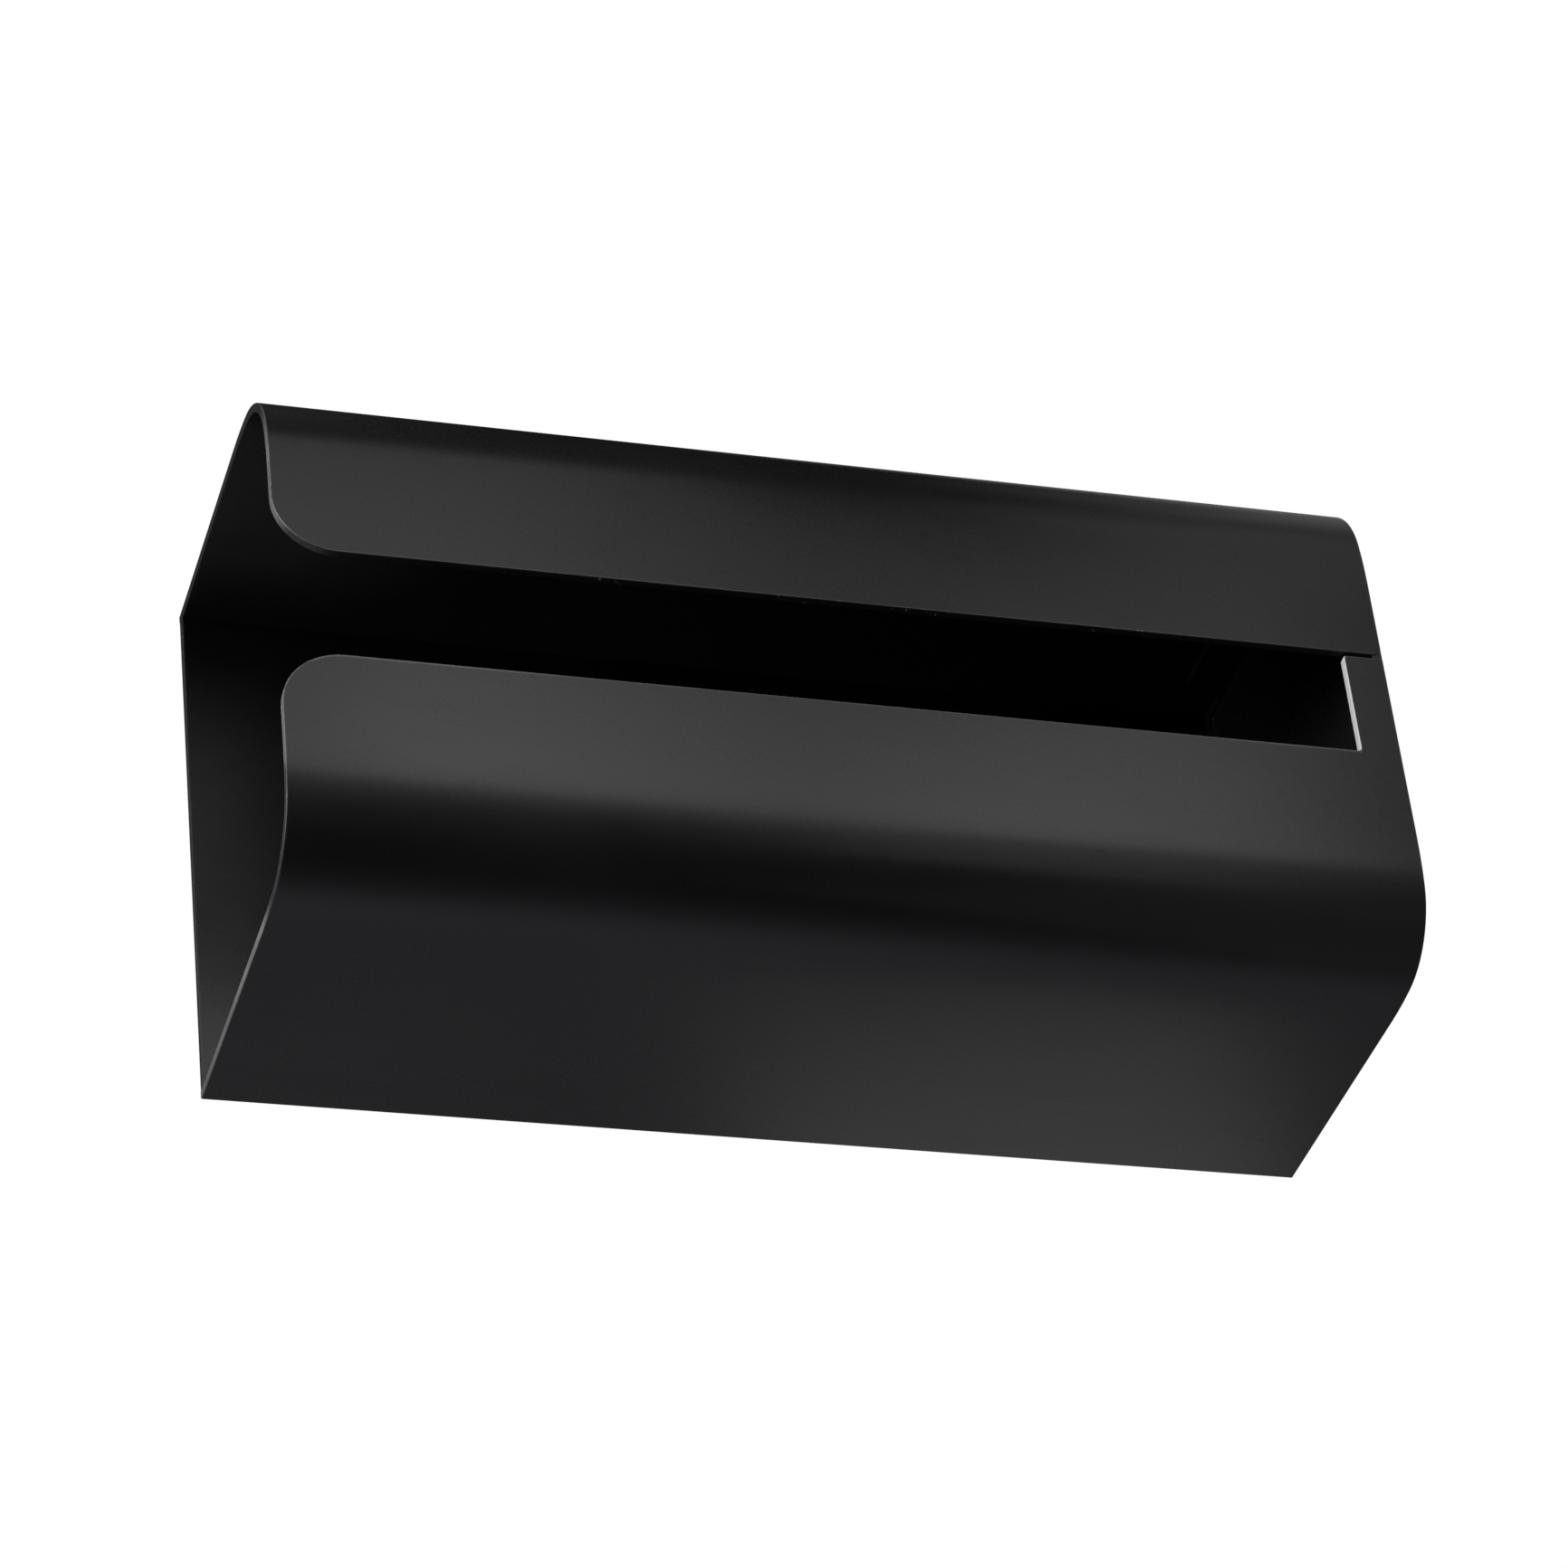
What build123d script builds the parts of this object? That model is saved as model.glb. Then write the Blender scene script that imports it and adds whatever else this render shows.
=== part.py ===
from build123d import *
import os
from math import cos, radians, sin, sqrt

# Napkin dispenser of bent black sheet metal: a long box with one open end,
# a slot along its front face that runs out through the open end, and large
# bends along the two front edges.
# Frame: origin at the middle of the bottom, +X along the box towards the
# closed end, -Y out of the slotted front face, +Z up.

# ---------------------------------------------------------------- dimensions
length = 242.0            # X, open end to closed end
height = 126.0            # Z
depth = 89.0              # Y, slotted face to back face
sheet = 2.0               # sheet thickness

top_bend_r = 23.0         # front-top bend: a plain arc of this radius has the same middle
bottom_bend_r = 20.5      # the same for the front-bottom bend
run_out_r = 80.0          # gentler arc at each end of a bend, outer radius
run_out_angle = 8.0       # degrees that it turns

slot_low = 50.0           # Z of the lower flap's upper edge
slot_high = 76.3          # Z of the upper flap's lower edge
flap_corner_r = 13.5      # rounded flap corners at the open end
upper_flap_end_r = 2.0    # small corner of the upper flap at the closed end

tongue_width = 9.1        # upright that closes the slot at the far end
seam_gap = 1.0            # open seam between tongue and upper flap
tongue_root_r = 0.8       # inside corner at the root of the tongue
tongue_tip_r = 0.8        # tongue's free corner, on the slot side
tongue_outer_r = 0.4      # its other corner, at the closed end

edge_break = 0.3          # deburred sheet edges

tab_depth = 12.0          # folded tabs of the end wall
front_tab_depth = 8.0     # shorter, so that it stays behind the tongue
end_fold_r = 3.0          # outer radius of the end wall's folds
tab_corner_r = 4.0        # rounded free corners of the tabs
weld_length = 2.2         # weld that closes the outer end of the seam
weld_recess = 0.3         # how far its face lies behind the front

screw_hole_d = 5.5        # wall screw holes in the back plate
screw_pitch = 160.0       # distance between the two holes

# ------------------------------------------------------------ derived values
x_open = -length / 2
x_end = length / 2
y_front = -depth / 2
y_back = depth / 2
y_mid = 0.0
x_tongue = x_end - tongue_width
z_slot_mid = (slot_low + slot_high) / 2
tongue_top = slot_high - seam_gap


def bend(radius):
    """Start of a bend, centre and outer radius of its middle arc, from the corner."""
    a = radians(run_out_angle)
    inner = ((sqrt(2) - 1) * radius - sqrt(2) * run_out_r * (1 - cos(a))) / (sqrt(2) * cos(a) - 1)
    middle = run_out_r * (1 - cos(a)) + inner * cos(a)
    start = run_out_r * (sin(a) + 1 - cos(a)) + inner * (cos(a) - sin(a))
    return start, middle, inner


top_start, top_middle, top_inner = bend(top_bend_r)
bottom_start, bottom_middle, bottom_inner = bend(bottom_bend_r)
turn = run_out_angle


def top_arcs(off):
    """Front-top bend from the top plate to the front, off behind its outer face."""
    CenterArc((y_front + top_start, height - run_out_r), run_out_r - off, 90, turn)
    CenterArc((y_front + top_middle, height - top_middle), top_inner - off, 90 + turn, 90 - 2 * turn)
    CenterArc((y_front + run_out_r, height - top_start), run_out_r - off, 180 - turn, turn)


def bottom_arcs(off):
    """Front-bottom bend from the front to the bottom plate, off behind its outer face."""
    CenterArc((y_front + run_out_r, bottom_start), run_out_r - off, 180, turn)
    CenterArc((y_front + bottom_middle, bottom_middle), bottom_inner - off, 180 + turn, 90 - 2 * turn)
    CenterArc((y_front + bottom_start, run_out_r), run_out_r - off, 270 - turn, turn)


os.makedirs("parts", exist_ok=True)

# --------------------------------------------------------------- upper cover
# One sheet: top plate, front-top bend, upper front flap.
with BuildPart() as upper_cover:
    with BuildSketch(Plane.YZ.offset(x_open)):
        with BuildLine():
            Line((y_back, height), (y_front + top_start, height))
            top_arcs(0)
            Line((y_front, height - top_start), (y_front, slot_high))
            Line((y_front, slot_high), (y_front + sheet, slot_high))
            Line((y_front + sheet, slot_high), (y_front + sheet, height - top_start))
            top_arcs(sheet)
            Line((y_front + top_start, height - sheet), (y_back, height - sheet))
            Line((y_back, height - sheet), (y_back, height))
        make_face()
    extrude(amount=length)
    flap_corners = upper_cover.edges().filter_by(Axis.Y).group_by(Axis.Z)[0].sort_by(Axis.X)
    fillet(flap_corners[0], radius=flap_corner_r)
    flap_corners = upper_cover.edges().filter_by(Axis.Y).group_by(Axis.Z)[0].sort_by(Axis.X)
    fillet(flap_corners[-1], radius=upper_flap_end_r)
    # deburr every sheet edge except the ones welded to the back plate
    rims = [e for e in upper_cover.edges()
            if not (e.center().Y > y_back - 0.01 or e.length < sheet + 0.01)]
    fillet(rims, radius=edge_break)
upper_cover.part.label = "upper_cover"
export_step(upper_cover.part, "parts/upper_cover.step")

# --------------------------------------------------------------- lower cover
# One sheet: bottom plate, front-bottom bend, lower front flap and the tongue
# that rises from the flap at the closed end.
with BuildPart() as lower_cover:
    with BuildSketch(Plane.YZ.offset(x_open)):
        with BuildLine():
            Line((y_back, 0), (y_front + bottom_start, 0))
            bottom_arcs(0)
            Line((y_front, bottom_start), (y_front, tongue_top))
            Line((y_front, tongue_top), (y_front + sheet, tongue_top))
            Line((y_front + sheet, tongue_top), (y_front + sheet, bottom_start))
            bottom_arcs(sheet)
            Line((y_front + bottom_start, sheet), (y_back, sheet))
            Line((y_back, sheet), (y_back, 0))
        make_face()
    extrude(amount=length)
    # clear the slot, leaving the tongue at the closed end
    with BuildSketch(Plane.XZ.offset(-y_front - sheet - 1)):
        with BuildLine():
            Polyline((x_open - 1, slot_low), (x_tongue, slot_low), (x_tongue, tongue_top + 1),
                     (x_open - 1, tongue_top + 1), close=True)
        make_face()
    extrude(amount=sheet + 2, mode=Mode.SUBTRACT)
    across = lower_cover.edges().filter_by(Axis.Y).filter_by(lambda e: e.length < sheet + 0.1)
    open_corner = [e for e in across if abs(e.center().X - x_open) < 0.01 and abs(e.center().Z - slot_low) < 0.01]
    fillet(open_corner, radius=flap_corner_r)
    across = lower_cover.edges().filter_by(Axis.Y).filter_by(lambda e: e.length < sheet + 0.1)
    root = [e for e in across if abs(e.center().X - x_tongue) < 0.01 and abs(e.center().Z - slot_low) < 0.01]
    fillet(root, radius=tongue_root_r)
    across = lower_cover.edges().filter_by(Axis.Y).filter_by(lambda e: e.length < sheet + 0.1)
    tip = [e for e in across if abs(e.center().Z - tongue_top) < 0.01]
    fillet([e for e in tip if e.center().X < x_end - 1], radius=tongue_tip_r)
    across = lower_cover.edges().filter_by(Axis.Y).filter_by(lambda e: e.length < sheet + 0.1)
    outer_tip = [e for e in across if abs(e.center().Z - tongue_top) < 0.01 and e.center().X > x_end - 0.1]
    fillet(outer_tip, radius=tongue_outer_r)
    rims = [e for e in lower_cover.edges()
            if not (e.center().Y > y_back - 0.01 or e.length < sheet + 0.01)]
    fillet(rims, radius=edge_break)
lower_cover.part.label = "lower_cover"
export_step(lower_cover.part, "parts/lower_cover.step")

# ---------------------------------------------------------------- back plate
# Flat plate between the two covers, flush with their rear edges.
with BuildPart() as back_plate:
    with BuildSketch(Plane.XZ.offset(-y_back)):
        with Locations((0, height / 2)):
            Rectangle(length, height - 2 * sheet)
        with Locations((-screw_pitch / 2, z_slot_mid), (screw_pitch / 2, z_slot_mid)):
            Circle(screw_hole_d / 2, mode=Mode.SUBTRACT)
    extrude(amount=sheet)
    ends = [e for e in back_plate.edges().filter_by(Axis.Z)]
    fillet(ends, radius=edge_break)
back_plate.part.label = "back_plate"
export_step(back_plate.part, "parts/back_plate.step")

# ------------------------------------------------------------------ end wall
# Plate with four folded tabs, welded inside the closed end. The front tab
# backs the seam between the tongue and the upper flap, and a short weld closes
# the seam's outer end.
with BuildPart() as end_wall:
    with BuildSketch(Plane.YZ.offset(x_end)):
        with BuildLine():
            y0, y1 = y_front + sheet, y_back - sheet
            z0, z1 = sheet, height - sheet
            Line((y1, z0), (y1, z1))
            Line((y1, z1), (y_front + top_start, z1))
            top_arcs(sheet)
            Line((y0, height - top_start), (y0, bottom_start))
            bottom_arcs(sheet)
            Line((y_front + bottom_start, z0), (y1, z0))
        make_face()
    extrude(amount=-tab_depth)
    outer = end_wall.faces().sort_by(Axis.X)[-1]
    fillet(outer.edges(), radius=end_fold_r)
    offset(amount=-sheet, openings=end_wall.faces().sort_by(Axis.X)[0])
    # relief cuts between the tabs
    relief_x = x_end - end_fold_r
    with BuildSketch(Plane.YZ.offset(relief_x)):
        for (cy, cz, wy, wz) in (
                (y_front, height, top_start + 4, top_start + 4),
                (y_front, 0, bottom_start + 4, bottom_start + 4),
                (y_back, height, 12, 12),
                (y_back, 0, 12, 12)):
            with Locations((cy, cz)):
                Rectangle(2 * wy, 2 * wz)
    extrude(amount=-tab_depth, mode=Mode.SUBTRACT)
    # shorten the front tab
    with BuildSketch(Plane.YZ.offset(x_end - front_tab_depth)):
        with Locations((y_front, height / 2)):
            Rectangle(2 * (sheet + 3), height)
    extrude(amount=-tab_depth, mode=Mode.SUBTRACT)
    free = [e for e in end_wall.edges()
            if e.center().X < x_end - front_tab_depth + 0.01 and abs(e.length - sheet) < 0.01
            and e.geom_type == GeomType.LINE]
    fillet(free, radius=tab_corner_r)
    # weld in the outer end of the seam, up to the upper flap's small corner
    r = upper_flap_end_r
    with BuildSketch(Plane.XZ.offset(-(y_front + sheet + 1.2))):
        with Locations((x_end - weld_length / 2, (tongue_top + slot_high + r) / 2)):
            Rectangle(weld_length, slot_high + r - tongue_top)
        with Locations((x_end - r - 1, slot_high + r / 2)):
            Rectangle(2, r, mode=Mode.SUBTRACT)
        with Locations((x_end - r, slot_high + r)):
            Circle(r + 0.01, mode=Mode.SUBTRACT)
    extrude(amount=sheet + 1.2 - weld_recess)
end_wall.part.label = "end_wall"
export_step(end_wall.part, "parts/end_wall.step")

for piece in (upper_cover, lower_cover, back_plate, end_wall):
    print(piece.part.label, len(piece.part.solids()), "solid(s)",
          round(piece.part.volume, 1), "mm3", piece.part.is_valid)
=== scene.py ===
import math

import bpy
from mathutils import Matrix, Vector


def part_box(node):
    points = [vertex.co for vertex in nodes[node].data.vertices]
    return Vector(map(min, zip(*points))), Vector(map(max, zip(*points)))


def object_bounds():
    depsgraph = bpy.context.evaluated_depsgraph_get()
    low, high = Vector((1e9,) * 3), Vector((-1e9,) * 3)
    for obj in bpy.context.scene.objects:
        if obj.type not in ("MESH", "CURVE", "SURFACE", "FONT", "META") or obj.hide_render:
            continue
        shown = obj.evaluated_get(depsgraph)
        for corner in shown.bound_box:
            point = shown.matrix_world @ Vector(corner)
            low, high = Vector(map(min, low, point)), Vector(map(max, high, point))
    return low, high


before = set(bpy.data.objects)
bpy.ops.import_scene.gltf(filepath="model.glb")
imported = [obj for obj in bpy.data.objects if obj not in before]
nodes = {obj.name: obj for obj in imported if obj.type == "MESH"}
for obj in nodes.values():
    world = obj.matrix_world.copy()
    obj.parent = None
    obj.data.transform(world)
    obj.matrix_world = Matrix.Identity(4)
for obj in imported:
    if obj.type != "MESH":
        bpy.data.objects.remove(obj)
cad_box = [list(v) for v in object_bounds()]
(X0, Y0, Z0), (X1, Y1, Z1) = cad_box
MM = 0.001

# the two covers' outlines on the slotted face, metres
SLOT_LOW, SLOT_HIGH = 50.0 * MM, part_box("upper_cover")[0][2]
CORNER_R = 13.5 * MM
TONGUE_X = X1 - 9.1 * MM
TOP_BEND_R, BOTTOM_BEND_R = 23.0 * MM, 20.5 * MM


# ------------------------------------------------------------------ shader tree
class Tree:
    """Short-hand for building a shader tree."""

    def __init__(self, tree):
        self.t = tree
        self.n = tree.nodes
        self.n.clear()

    def node(self, kind, **props):
        nd = self.n.new(kind)
        for k, v in props.items():
            setattr(nd, k, v)
        return nd

    def put(self, socket, value):
        if isinstance(value, bpy.types.NodeSocket):
            self.t.links.new(value, socket)
        elif value is not None:
            socket.default_value = value

    def math(self, op, a, b=None, c=None, clamp=False):
        nd = self.node("ShaderNodeMath", operation=op, use_clamp=clamp)
        for s, v in zip(nd.inputs, (a, b, c)):
            self.put(s, v)
        return nd.outputs[0]

    def add(self, a, b):
        return self.math("ADD", a, b)

    def sub(self, a, b):
        return self.math("SUBTRACT", a, b)

    def mul(self, a, b):
        return self.math("MULTIPLY", a, b)

    def low(self, a, b):
        return self.math("MINIMUM", a, b)

    def high(self, a, b):
        return self.math("MAXIMUM", a, b)

    def hypot(self, a, b):
        return self.math("SQRT", self.add(self.mul(a, a), self.mul(b, b)))

    def ramp(self, fac, lo, hi, out_lo=0.0, out_hi=1.0, smooth=True):
        nd = self.node("ShaderNodeMapRange", clamp=True,
                       interpolation_type="SMOOTHSTEP" if smooth else "LINEAR")
        self.put(nd.inputs["Value"], fac)
        for name, v in (("From Min", lo), ("From Max", hi), ("To Min", out_lo), ("To Max", out_hi)):
            nd.inputs[name].default_value = v
        return nd.outputs["Result"]

    def mix(self, fac, a, b, blend="MIX"):
        nd = self.node("ShaderNodeMix", data_type="RGBA", blend_type=blend)
        self.put(nd.inputs[0], fac)
        self.put(nd.inputs[6], a)
        self.put(nd.inputs[7], b)
        return nd.outputs[2]

    def blend(self, fac, a, b):
        nd = self.node("ShaderNodeMix", data_type="FLOAT")
        self.put(nd.inputs[0], fac)
        self.put(nd.inputs[2], a)
        self.put(nd.inputs[3], b)
        return nd.outputs[0]

    def vmath(self, op, a, b=None, scale=None):
        nd = self.node("ShaderNodeVectorMath", operation=op)
        self.put(nd.inputs[0], a)
        if b is not None:
            self.put(nd.inputs[1], b)
        if scale is not None:
            self.put(nd.inputs["Scale"], scale)
        return nd.outputs["Value" if op == "DOT_PRODUCT" else "Vector"]

    def vector(self, x, y, z):
        nd = self.node("ShaderNodeCombineXYZ")
        for s, v in zip(nd.inputs, (x, y, z)):
            self.put(s, v)
        return nd.outputs[0]

    def vblend(self, fac, a, b):
        nd = self.node("ShaderNodeMix", data_type="VECTOR")
        self.put(nd.inputs[0], fac)
        self.put(nd.inputs[4], a)
        self.put(nd.inputs[5], b)
        return nd.outputs[1]

    def noise(self, vec, scale, detail=2.0, rough=0.5, dist=0.0):
        nd = self.node("ShaderNodeTexNoise")
        self.put(nd.inputs["Vector"], vec)
        for name, v in (("Scale", scale), ("Detail", detail), ("Roughness", rough), ("Distortion", dist)):
            nd.inputs[name].default_value = v
        return nd.outputs["Fac"]

    def cells(self, vec, scale, feature="F1"):
        nd = self.node("ShaderNodeTexVoronoi", feature=feature)
        self.put(nd.inputs["Vector"], vec)
        nd.inputs["Scale"].default_value = scale
        return nd.outputs["Distance"]

    def stretch(self, vec, scale, offset=(0, 0, 0)):
        nd = self.node("ShaderNodeMapping")
        self.put(nd.inputs["Vector"], vec)
        nd.inputs["Location"].default_value = offset
        nd.inputs["Scale"].default_value = scale
        return nd.outputs["Vector"]


def rgb(v, tint=(1, 1, 1)):
    return (v * tint[0], v * tint[1], v * tint[2], 1)


# -------------------------------------------------------------- edge distances
# Each returns how far a surface point is from its sheet's nearest cut edge.
def edge_upper(t, x, y, z):
    qx = t.high(t.sub(X0 + CORNER_R, x), 0.0)
    qz = t.high(t.sub(SLOT_HIGH + CORNER_R, z), 0.0)
    flap = t.sub(CORNER_R, t.hypot(qx, qz))
    return t.low(flap, t.sub(X1, x))


def edge_lower(t, x, y, z):
    qx = t.high(t.sub(X0 + CORNER_R, x), 0.0)
    near_end = t.math("GREATER_THAN", qx, 0.0)
    qz = t.mul(t.high(t.sub(z, SLOT_LOW - CORNER_R), 0.0), near_end)
    corner = t.sub(CORNER_R, t.hypot(qx, qz))
    sx = t.high(t.sub(x, TONGUE_X), 0.0)
    sz = t.high(t.sub(SLOT_LOW, z), 0.0)
    slot = t.hypot(sx, sz)
    tip = t.high(t.sub(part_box("lower_cover")[1][2], z), 0.0)
    return t.low(t.low(corner, slot), t.low(tip, t.sub(X1, x)))


def edge_back(t, x, y, z):
    hole = None
    for hx in (-80.0 * MM, 80.0 * MM):
        d = t.hypot(t.sub(x, hx), t.sub(z, (SLOT_LOW + SLOT_HIGH) / 2))
        d = t.math("ABSOLUTE", t.sub(d, 2.75 * MM))
        hole = d if hole is None else t.low(hole, d)
    return t.low(hole, t.low(t.sub(x, X0), t.sub(X1, x)))


def edge_end(t, x, y, z):
    return t.add(t.math("ABSOLUTE", t.sub(x, X1 - 12.0 * MM)), 0.4 * MM)


# ------------------------------------------------------------- worn cut edges, painted edge light
# How light a sheet's cut face is, by place: worn coat with painted highlight and shade, lighter towards the front,
# darker along the bends and where the cut face looks down.
def cut_face_wear_and_light_upper(t, x, y, z, nz):
    # painted highlight and shade: lighter on the flap below the top bend and at the front, dark where the cut face
    # looks down
    a = t.ramp(z, 103.0 * MM, 117.0 * MM, 0.118, 0.0)
    a = t.mul(a, t.ramp(y, -43.0 * MM + 22.0 * MM, -10.0 * MM, 1.0, 0.0))
    a = t.mul(a, t.ramp(nz, -0.75, -0.25, 0.0, 1.0))
    return t.add(a, 0.013)


def cut_face_wear_and_light_lower(t, x, y, z, nz):
    # painted shade: darker along the bottom bend; the bottom plate's edge is lighter, less so towards the back
    flap = t.ramp(z, 19.5 * MM, 25.0 * MM, 0.0, 0.112)
    plate = t.ramp(y, -27.0 * MM, -17.0 * MM, 0.0, 0.140)
    plate = t.mul(plate, t.ramp(y, -10.0 * MM, 42.0 * MM, 1.0, 0.62))
    return t.add(t.high(flap, plate), 0.034)


def wear_plain(t, x, y, z, nz):
    return t.ramp(z, 0.0, 1.0, 0.016, 0.016)


# ------------------------------------------------------------------ painted light and shade inside
# Painted light on the inner faces near the open end (first value), and how much
# of the coat's own colour is kept against painted shade in the inner corners (second).
def painted_light_inside_upper(t, x, y, z, ny, nz):
    inner = t.ramp(t.vmath("DOT_PRODUCT", t.vmath("NORMALIZE", out_upper(t, x, y, z)), t.vector(0.0, ny, nz)), -0.9, -0.5, 1.0, 0.0)
    # painted light on the top plate's inner face, lighter near the open end and towards the front
    a = t.mul(t.ramp(x, X0 + 15 * MM, X0 + 62 * MM, 1.0, 0.0), t.ramp(y, 10 * MM, 42 * MM, 1.0, 0.0))
    return t.mul(inner, t.mul(a, 0.032)), None


def painted_light_and_shade_inside_back(t, x, y, z, ny, nz):
    inner = t.ramp(ny, -0.9, -0.5, 1.0, 0.0)
    # painted light on the back plate's inner face, lighter near the open end and low down
    a = t.mul(t.ramp(x, X0, X0 + 30 * MM, 1.0, 0.0), t.ramp(z, 62 * MM, 122 * MM, 1.0, 0.0))
    # painted shade: darker high up under the top plate, deeper in from the open end, and near the bottom corner
    unshaded_share = t.sub(1.0, t.mul(inner, t.ramp(z, 78 * MM, 116 * MM, 0.0, 0.90)))
    unshaded_share = t.mul(unshaded_share, t.sub(1.0, t.mul(inner, t.ramp(x, X0 + 10 * MM, X0 + 48 * MM, 0.0, 0.45))))
    unshaded_share = t.mul(unshaded_share, t.sub(1.0, t.mul(inner, t.ramp(z, 8 * MM, 36 * MM, 0.40, 0.0))))
    return t.mul(inner, t.mul(a, 0.020)), unshaded_share


# -------------------------------------------------------------- bend normals
# The direction a cover's outer face looks in. A press leaves no sharp start to
# a bend, so the direction begins to turn a little before the flat ends.
RUN_OUT = 5.0 * MM


def eased(t, d):
    """d where it is negative and 0 where it is positive, rounded over RUN_OUT."""
    root = t.math("SQRT", t.add(t.mul(d, d), RUN_OUT ** 2))
    return t.mul(t.sub(d, root), 0.5)


def out_upper(t, x, y, z):
    return t.vector(0.0, eased(t, t.sub(y, Y0 + TOP_BEND_R)), t.mul(eased(t, t.sub(Z1 - TOP_BEND_R, z)), -1.0))


def out_lower(t, x, y, z):
    return t.vector(0.0, eased(t, t.sub(y, Y0 + BOTTOM_BEND_R)), eased(t, t.sub(z, Z0 + BOTTOM_BEND_R)))


def sheet_normal(t, outward, shading):
    """The outward direction on outer faces, its opposite on inner ones, the mesh's own at cut edges."""
    unit = t.vmath("NORMALIZE", outward)
    dot = t.vmath("DOT_PRODUCT", unit, shading)
    side = t.vmath("SCALE", unit, scale=t.math("SIGN", dot))
    same = t.ramp(t.math("ABSOLUTE", dot), 0.955, 0.975)
    return t.vmath("NORMALIZE", t.vblend(same, shading, side))


# ------------------------------------------------------------------- the coat
def powder_coat(name, edge, cut_face_wear_and_light, seed, outward=None, inside_light_and_shade=None, bare_end_and_slot_highlight=False):
    """Satin black powder coat on sheet metal, thin and rubbed where the sheet is cut, with painted highlight and
    shade on its cut edges and painted light and shade inside.
    """
    m = bpy.data.materials.new(name)
    m.use_nodes = True
    t = Tree(m.node_tree)
    out = t.node("ShaderNodeOutputMaterial", location=(1200, 0))
    bsdf = t.node("ShaderNodeBsdfPrincipled", location=(900, 0))
    t.put(out.inputs["Surface"], bsdf.outputs[0])

    co = t.node("ShaderNodeTexCoord").outputs["Object"]
    sep = t.node("ShaderNodeSeparateXYZ")
    t.put(sep.inputs[0], co)
    x, y, z = sep.outputs
    geo = t.node("ShaderNodeNewGeometry")
    nsep = t.node("ShaderNodeSeparateXYZ")
    t.put(nsep.inputs[0], geo.outputs["Normal"])
    nx, ny, nz = nsep.outputs
    v = t.stretch(co, (1, 1, 1), (seed * 0.37, seed * 0.21, seed * 0.53))

    # distance to the cut edge, made a little uneven
    e = edge(t, x, y, z)
    uneven = t.mul(t.sub(t.noise(v, 900, 3, 0.6), 0.5), 0.35 * MM)
    e_n = t.add(e, uneven)
    face = t.ramp(e, 0.12 * MM, 0.30 * MM, 1.0, 0.0)           # the cut face and its arris
    rub = t.ramp(e_n, 0.15 * MM, 0.60 * MM, 1.0, 0.0)          # just behind the arris
    # rub and painted highlight on the arris are stronger here than there
    patch = t.ramp(t.noise(v, 28, 3, 0.6), 0.42, 0.62)          # rubbed more here than there

    # colour: soft clouds, fine speckle in the coat
    cloud = t.noise(t.stretch(v, (1, 1, 1.4)), 17, 4, 0.55, 0.3)
    speck = t.noise(v, 1500, 2, 0.7)
    coat = t.mix(t.ramp(cloud, 0.3, 0.7), rgb(0.0100, (1, 1, 1.09)), rgb(0.0138, (1, 1, 1.09)))
    coat = t.mix(t.ramp(speck, 0.62, 0.80, 0.0, 0.22), coat, rgb(0.030))
    if inside_light_and_shade:
        # painted light near the open end, and painted shade in the inner corners
        painted_inside_light, unshaded_share = inside_light_and_shade(t, x, y, z, ny, nz)
        if unshaded_share is not None:
            # painted shade: the coat is darkened towards near-black in the inner corners
            coat = t.mix(unshaded_share, rgb(0.0004), coat)
        painted_inside_light = t.mul(painted_inside_light, t.ramp(t.noise(t.stretch(v, (1, 1, 1.6)), 55, 4, 0.6, 0.4), 0.25, 0.75, 0.82, 1.18))
        coat = t.mix(painted_inside_light, coat, rgb(1.0, (1, 0.99, 0.97)))
    # the band just behind each arris is lighter: worn coat, partly painted highlight along the edges
    arris_wear_and_highlight = t.mul(rub, t.add(0.10, t.mul(patch, 0.42)))
    if bare_end_and_slot_highlight:
        # painted highlight on the slot's lower edge: a lighter coat line, strongest near its two ends
        painted_slot_highlight = t.mul(t.ramp(e_n, 0.30 * MM, 0.75 * MM, 1.0, 0.0), t.math("GREATER_THAN", z, SLOT_LOW - 2.5 * MM))
        painted_slot_highlight = t.mul(painted_slot_highlight, t.math("LESS_THAN", x, TONGUE_X))
        painted_slot_highlight = t.mul(painted_slot_highlight, t.ramp(t.math("ABSOLUTE", t.sub(x, 8 * MM)), 62 * MM, 88 * MM, 0.10, 0.95))
        coat = t.mix(painted_slot_highlight, coat, rgb(0.105, (1, 0.99, 0.97)))
    colour = t.mix(arris_wear_and_highlight, coat, rgb(0.060, (1, 0.99, 0.97)))

    # the cut face: coat worn thin, with painted highlight and shade by place, a little uneven
    grain = t.noise(t.stretch(v, (1, 1, 1)), 700, 3, 0.6)
    worn_and_lit = t.mul(cut_face_wear_and_light(t, x, y, z, nz), t.ramp(grain, 0.25, 0.75, 0.80, 1.20))
    worn_and_lit = t.mul(worn_and_lit, t.ramp(t.noise(v, 60, 3, 0.6), 0.3, 0.7, 0.86, 1.14))
    grey = t.node("ShaderNodeCombineColor")
    t.put(grey.inputs[0], worn_and_lit)
    t.put(grey.inputs[1], worn_and_lit)
    t.put(grey.inputs[2], t.mul(worn_and_lit, 0.985))
    colour = t.mix(face, colour, grey.outputs[0])

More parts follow.
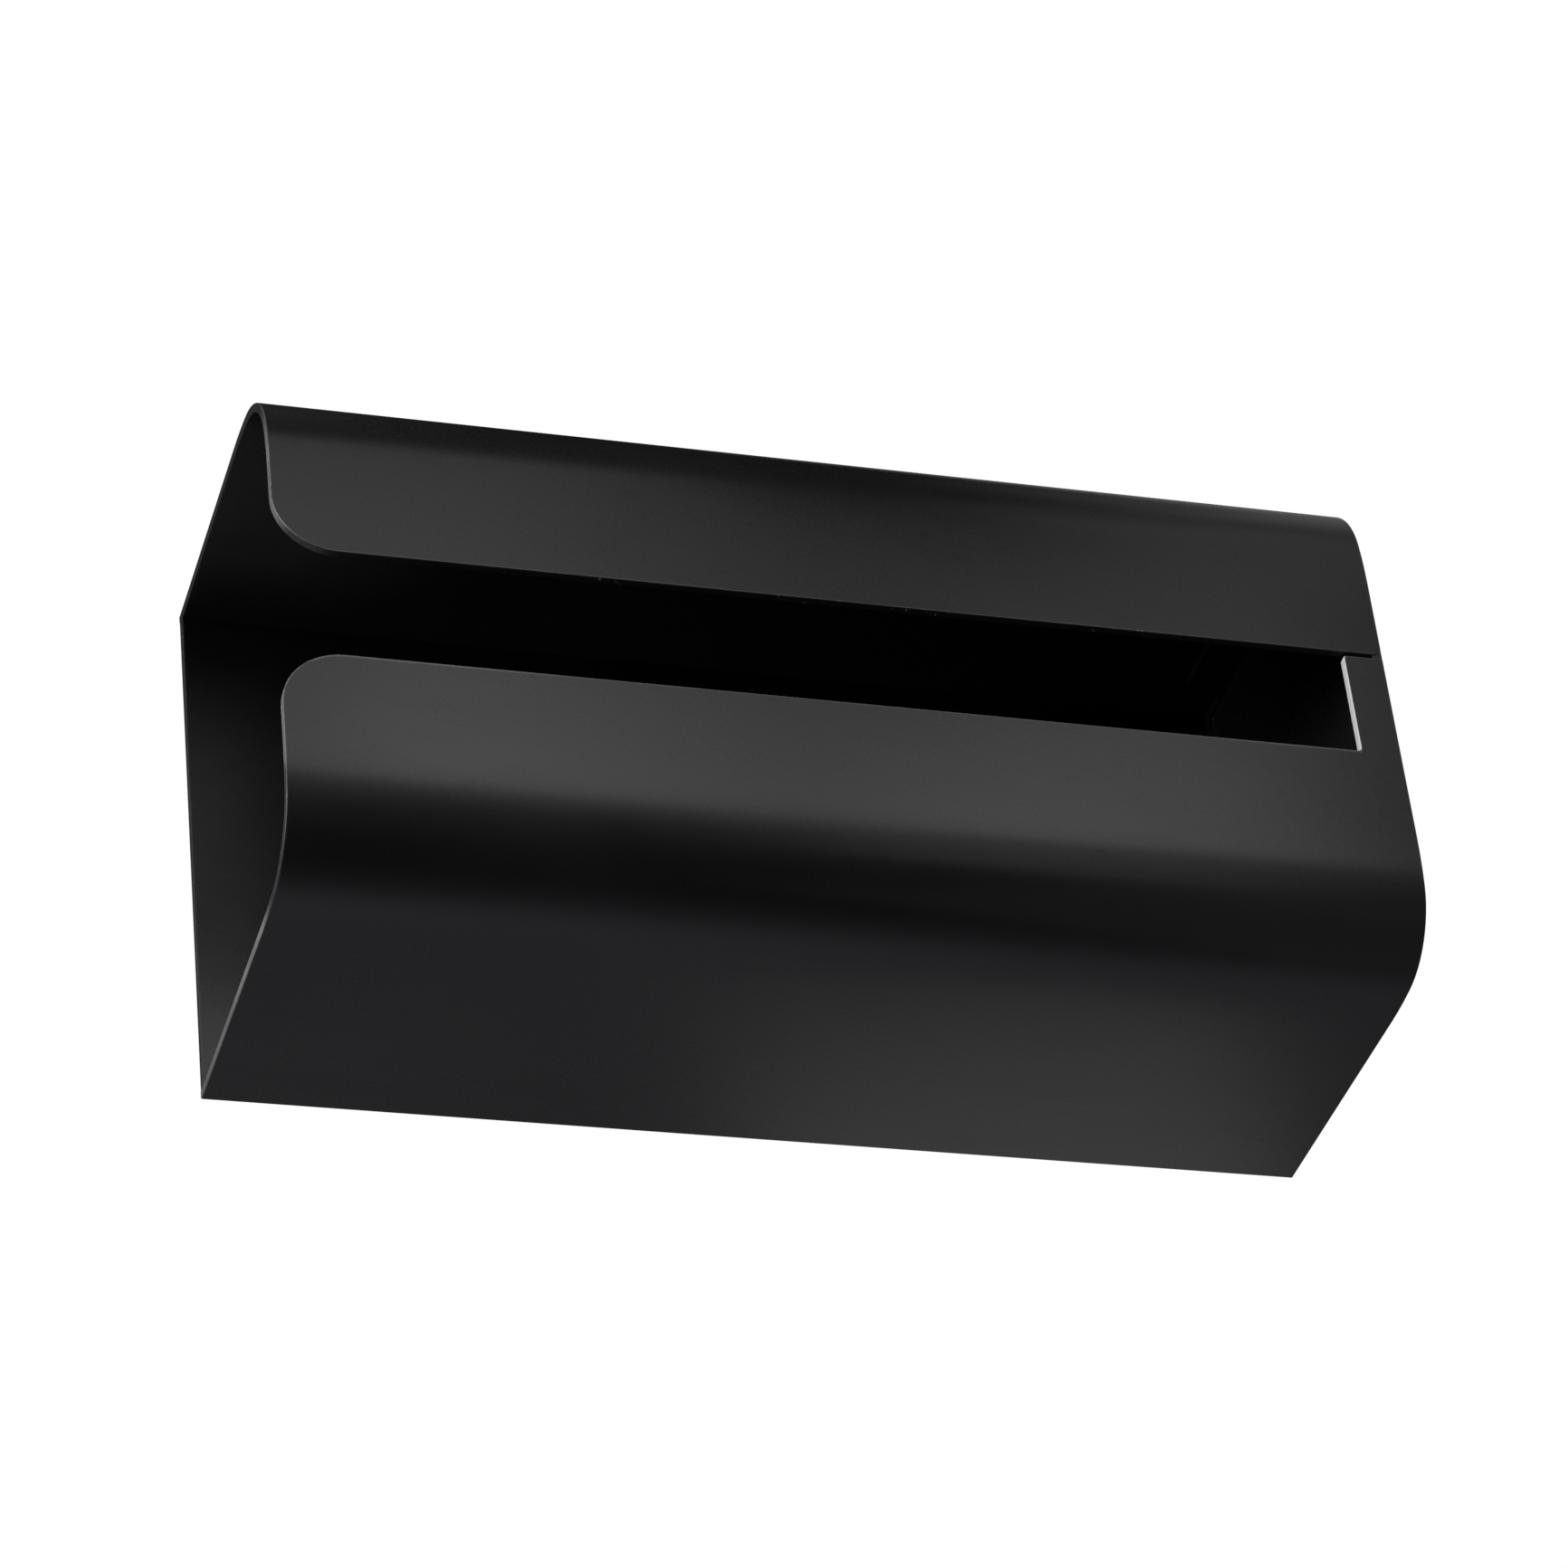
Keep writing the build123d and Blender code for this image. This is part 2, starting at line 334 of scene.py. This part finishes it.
    # chips that reach the steel, few, only on the arris
    chip = t.ramp(t.noise(v, 700, 4, 0.7), 0.62, 0.68)
    chip = t.mul(chip, t.mul(t.ramp(e_n, 0.1 * MM, 0.35 * MM, 1.0, 0.0), t.ramp(t.noise(v, 38, 2), 0.58, 0.72)))
    bare = t.mul(chip, t.ramp(y, -30.0 * MM, -20.0 * MM, 0.8, 0.15))
    if bare_end_and_slot_highlight:
        # the upright at the end of the slot is rubbed through by what is pulled out
        f = t.math("GREATER_THAN", x, TONGUE_X - 0.9 * MM)
        f = t.mul(f, t.math("LESS_THAN", x, TONGUE_X + 0.9 * MM))
        f = t.mul(f, t.math("GREATER_THAN", z, SLOT_LOW + 0.05 * MM))
        f = t.mul(f, t.ramp(nx, -0.40, -0.10, 1.0, 0.0))
        f = t.mul(f, t.ramp(t.noise(v, 420, 3, 0.6), 0.20, 0.38, 0.86, 1.0))
        bare = t.high(bare, f)
    metal = t.mix(t.noise(t.stretch(v, (1, 1, 6)), 900, 3, 0.6), rgb(0.74, (1, 0.995, 0.98)), rgb(0.92, (1, 1, 0.99)))
    colour = t.mix(bare, colour, metal)

    # dust that has settled on faces that look up
    up = t.ramp(nz, 0.35, 0.9)
    motes = t.ramp(t.cells(v, 420), 0.16, 0.05, 0.0, 1.0)
    dust = t.mul(up, t.mul(motes, t.ramp(t.noise(v, 45, 3), 0.52, 0.7, 0.0, 0.22)))
    film = t.mul(up, t.ramp(t.noise(v, 9, 4, 0.6), 0.3, 0.8, 0.0, 0.030))
    film = t.add(film, t.mul(t.ramp(nz, 0.93, 0.995), t.ramp(t.noise(t.stretch(v, (0.6, 1, 1)), 14, 4, 0.6, 0.5), 0.3, 0.7, 0.030, 0.110)))
    colour = t.mix(t.high(dust, film), colour, rgb(0.30, (1, 0.97, 0.92)))
    t.put(bsdf.inputs["Base Color"], colour)

    # roughness: satin, with faint handling and wiping
    wipe = t.noise(t.stretch(v, (0.25, 1, 1)), 75, 4, 0.65, 0.6)
    r = t.add(0.275, t.mul(t.sub(cloud, 0.5), 0.06))
    r = t.add(r, t.mul(t.sub(wipe, 0.5), 0.06))
    r = t.add(r, t.mul(t.sub(speck, 0.5), 0.05))
    r = t.blend(t.mul(rub, 0.4), r, 0.25)
    r = t.blend(face, r, 0.45)
    r = t.blend(bare, r, 0.50)
    r = t.add(r, t.mul(film, 1.2))
    t.put(bsdf.inputs["Roughness"], r)
    t.put(bsdf.inputs["Metallic"], t.mul(bare, 0.15))
    bsdf.inputs["IOR"].default_value = 1.5
    bsdf.inputs["Specular IOR Level"].default_value = 0.5

    # relief: orange peel, the powder's fine grain, sawn streaks on the cut face
    peel = t.noise(v, 430, 1.5, 0.45)
    fine = t.noise(v, 2600, 2, 0.6)
    b1 = t.node("ShaderNodeBump")
    b1.inputs["Strength"].default_value = 1.0
    b1.inputs["Distance"].default_value = 0.010 * MM
    t.put(b1.inputs["Height"], peel)
    if outward:
        t.put(b1.inputs["Normal"], sheet_normal(t, outward(t, x, y, z), geo.outputs["Normal"]))
    b2 = t.node("ShaderNodeBump")
    b2.inputs["Strength"].default_value = 1.0
    b2.inputs["Distance"].default_value = 0.003 * MM
    t.put(b2.inputs["Height"], fine)
    t.put(b2.inputs["Normal"], b1.outputs[0])
    b3 = t.node("ShaderNodeBump")
    b3.inputs["Strength"].default_value = 1.0
    b3.inputs["Distance"].default_value = 0.02 * MM
    streak = t.mul(t.noise(v, 1300, 3, 0.6), face)
    t.put(b3.inputs["Height"], t.sub(streak, t.mul(chip, 0.6)))
    t.put(b3.inputs["Normal"], b2.outputs[0])
    t.put(bsdf.inputs["Normal"], b3.outputs[0])
    return m


finishes = {
    "upper_cover": powder_coat("black_coat_upper", edge_upper, cut_face_wear_and_light_upper, 1, out_upper, painted_light_inside_upper),
    "lower_cover": powder_coat("black_coat_lower", edge_lower, cut_face_wear_and_light_lower, 2, out_lower, bare_end_and_slot_highlight=True),
    "back_plate": powder_coat("black_coat_back", edge_back, wear_plain, 3, None, painted_light_and_shade_inside_back),
    "end_wall": powder_coat("black_coat_end", edge_end, wear_plain, 4),
}
for name, mat in finishes.items():
    ob = nodes[name]
    ob.data.materials.clear()
    ob.data.materials.append(mat)

# ---------------------------------------------------------------------- stage
FLOOR_Z = -1.25
R_FLOOR, RINGS, SEG = 14.0, 20, 96
verts, faces = [(0.0, 0.0, FLOOR_Z)], []
for i in range(1, RINGS + 1):
    r = R_FLOOR * (i / RINGS) ** 1.6
    verts += [(r * math.cos(2 * math.pi * k / SEG), r * math.sin(2 * math.pi * k / SEG), FLOOR_Z) for k in range(SEG)]
for k in range(SEG):
    faces.append((0, 1 + k, 1 + (k + 1) % SEG))
for i in range(RINGS - 1):
    a, b = 1 + i * SEG, 1 + (i + 1) * SEG
    for k in range(SEG):
        faces.append((a + k, b + k, b + (k + 1) % SEG, a + (k + 1) % SEG))
floor_mesh = bpy.data.meshes.new("floor")
floor_mesh.from_pydata(verts, [], faces)
floor = bpy.data.objects.new("floor", floor_mesh)
bpy.context.scene.collection.objects.link(floor)
fm = bpy.data.materials.new("pale_floor")
fm.use_nodes = True
t = Tree(fm.node_tree)
fo = t.node("ShaderNodeOutputMaterial")
fb = t.node("ShaderNodeBsdfPrincipled")
co = t.node("ShaderNodeTexCoord").outputs["Object"]
t.put(fb.inputs["Base Color"], t.mix(t.noise(co, 3, 4, 0.5), rgb(0.80), rgb(0.86)))
t.put(fb.inputs["Roughness"], t.ramp(t.noise(co, 8, 3), 0.3, 0.7, 0.75, 0.9))
# the floor fades into the white studio with distance
sep = t.node("ShaderNodeSeparateXYZ")
t.put(sep.inputs[0], co)
out_there = t.hypot(sep.outputs[0], sep.outputs[1])
far = t.ramp(out_there, 0.4, 8.0, 0.86, 1.0)
shade = t.ramp(out_there, 0.4, 8.0, 0.86, 1.0)
shade = t.sub(shade, t.mul(t.ramp(t.noise(co, 2.2, 4, 0.55), 0.3, 0.7), t.ramp(out_there, 0.4, 5.0, 0.015, 0.0)))
tone = t.node("ShaderNodeCombineColor")
t.put(tone.inputs[0], shade)
t.put(tone.inputs[1], shade)
t.put(tone.inputs[2], t.mul(shade, 1.003))
glow = t.node("ShaderNodeEmission")
t.put(glow.inputs["Color"], tone.outputs[0])
mixer = t.node("ShaderNodeMixShader")
t.put(mixer.inputs[0], far)
t.put(mixer.inputs[1], fb.outputs[0])
t.put(mixer.inputs[2], glow.outputs[0])
t.put(fo.inputs["Surface"], mixer.outputs[0])
floor_mesh.materials.append(fm)
floor.visible_glossy = False
floor.visible_diffuse = False

# --------------------------------------------------------------------- lights
CENTRE = Vector((0, 0, (Z0 + Z1) / 2))


def towards(az, el):
    """Unit vector; azimuth 0 is -Y, 90 is +X."""
    a, e = math.radians(az), math.radians(el)
    return Vector((math.sin(a) * math.cos(e), -math.cos(a) * math.cos(e), math.sin(e)))


def softbox(name, az, el, dist, size, radiance, colour=(1, 1, 1)):
    data = bpy.data.lights.new(name, "AREA")
    data.shape = "SQUARE"
    data.size = size
    data.energy = math.pi * size * size * radiance
    data.color = colour
    ob = bpy.data.objects.new(name, data)
    bpy.context.scene.collection.objects.link(ob)
    zc = towards(az, el)
    up = Vector((0, 0, 1)) if abs(zc.z) < 0.99 else Vector((0, 1, 0))
    xc = up.cross(zc).normalized()
    yc = zc.cross(xc)
    pos = CENTRE + zc * dist
    ob.matrix_world = Matrix(((xc.x, yc.x, zc.x, pos.x), (xc.y, yc.y, zc.y, pos.y), (xc.z, yc.z, zc.z, pos.z), (0, 0, 0, 1)))
    ob.visible_camera = False
    return ob


SOFTBOXES = [
    # name, azimuth, elevation, distance, size, radiance
    ("front_mid", 12.9, 20, 0.42, 0.2940, 0.210),
    ("right_mid", 62.6, 40, 0.30, 0.2100, 0.143),
    ("front_high", 0.0, 50, 0.60, 0.2100, 0.607),
    ("front_mid_2", 25.7, 20, 0.42, 0.1470, 1.236),
    ("front_mid_3", 0.0, 20, 0.30, 0.1050, 0.835),
    ("behind_low", 152.3, -30, 0.42, 0.1470, 0.462),
    ("right_high", 96.0, 60, 0.90, 0.3150, 0.154),
    ("behind_mid", 125.2, 40, 0.90, 0.6300, 0.222),
    ("right_low", 47.0, -40, 0.30, 0.2100, 0.101),
    ("right_mid_2", 47.0, 40, 0.30, 0.1050, 0.252),
    ("front_low", 24.0, -10, 0.30, 0.1050, 0.340),
    ("behind_mid_2", 125.2, 40, 0.30, 0.2100, 0.083),
    ("front_mid_4", 0.0, 30, 0.90, 0.3150, 0.972),
    ("side_left", -65.0, 3, 0.75, 0.3400, 12.600),
    ("end_right", 100.0, -8, 0.80, 0.6000, 1.300),
    ("back_soft", 186.0, -8, 0.60, 0.3500, 0.700),
    ("top_soft", -90.0, 75, 0.90, 0.4000, 1.500),
]
for spec in SOFTBOXES:
    softbox(*spec)

# Soft surroundings: wide lobes of light, each (azimuth, elevation, strength).
LOBE_K = 9.0
LOBES = [
    (108, -58, 0.072), (180, -58, 0.340), (252, -58, 0.199), (90, -22, 0.048),
    (135, -22, 0.038), (180, -22, 0.018), (225, -22, 0.245), (270, -22, 0.214),
    (0, 12, 0.136), (40, 12, 0.097), (200, 12, 0.065), (240, 12, 0.225),
    (280, 12, 0.135),
]
world = bpy.data.worlds.new("studio")
bpy.context.scene.world = world
world.use_nodes = True
t = Tree(world.node_tree)
wo = t.node("ShaderNodeOutputWorld")
direction = t.node("ShaderNodeTexCoord").outputs["Generated"]
total = None
for az, el, strength in LOBES:
    dot = t.node("ShaderNodeVectorMath", operation="DOT_PRODUCT")
    t.put(dot.inputs[0], direction)
    dot.inputs[1].default_value = towards(az, el)
    lobe = t.mul(t.math("EXPONENT", t.mul(t.sub(dot.outputs["Value"], 1.0), LOBE_K)), strength)
    total = lobe if total is None else t.add(total, lobe)
room = t.node("ShaderNodeBackground")
room.inputs["Color"].default_value = (1.0, 1.0, 1.09, 1)
t.put(room.inputs["Strength"], total)
white = t.node("ShaderNodeBackground")
white.inputs["Color"].default_value = (1, 1, 1, 1)
seen = t.node("ShaderNodeLightPath").outputs["Is Camera Ray"]
pick = t.node("ShaderNodeMixShader")
t.put(pick.inputs[0], seen)
t.put(pick.inputs[1], room.outputs[0])
t.put(pick.inputs[2], white.outputs[0])
t.put(wo.inputs["Surface"], pick.outputs[0])

# --------------------------------------------------------------------- camera
cam_data = bpy.data.cameras.new("camera")
cam = bpy.data.objects.new("camera", cam_data)
bpy.context.scene.collection.objects.link(cam)
cam_data.sensor_width = 36.0
cam_data.sensor_fit = "HORIZONTAL"
cam_data.lens = 134.039
cam_data.clip_start = 0.05
cam_data.clip_end = 60.0
cam.matrix_world = Matrix((
    (0.9568934, -0.0861672, -0.2773632, -0.346067),
    (-0.274165, -0.5831663, -0.7646899, -0.949592),
    (-0.0958577, 0.8077699, -0.581652, -0.661086),
    (0, 0, 0, 1)))
scene = bpy.context.scene
scene.camera = cam
scene.view_settings.view_transform = "Standard"
scene.cycles.use_denoising = True
scene.cycles.sample_clamp_indirect = 4.0
scene.cycles.seed = 7
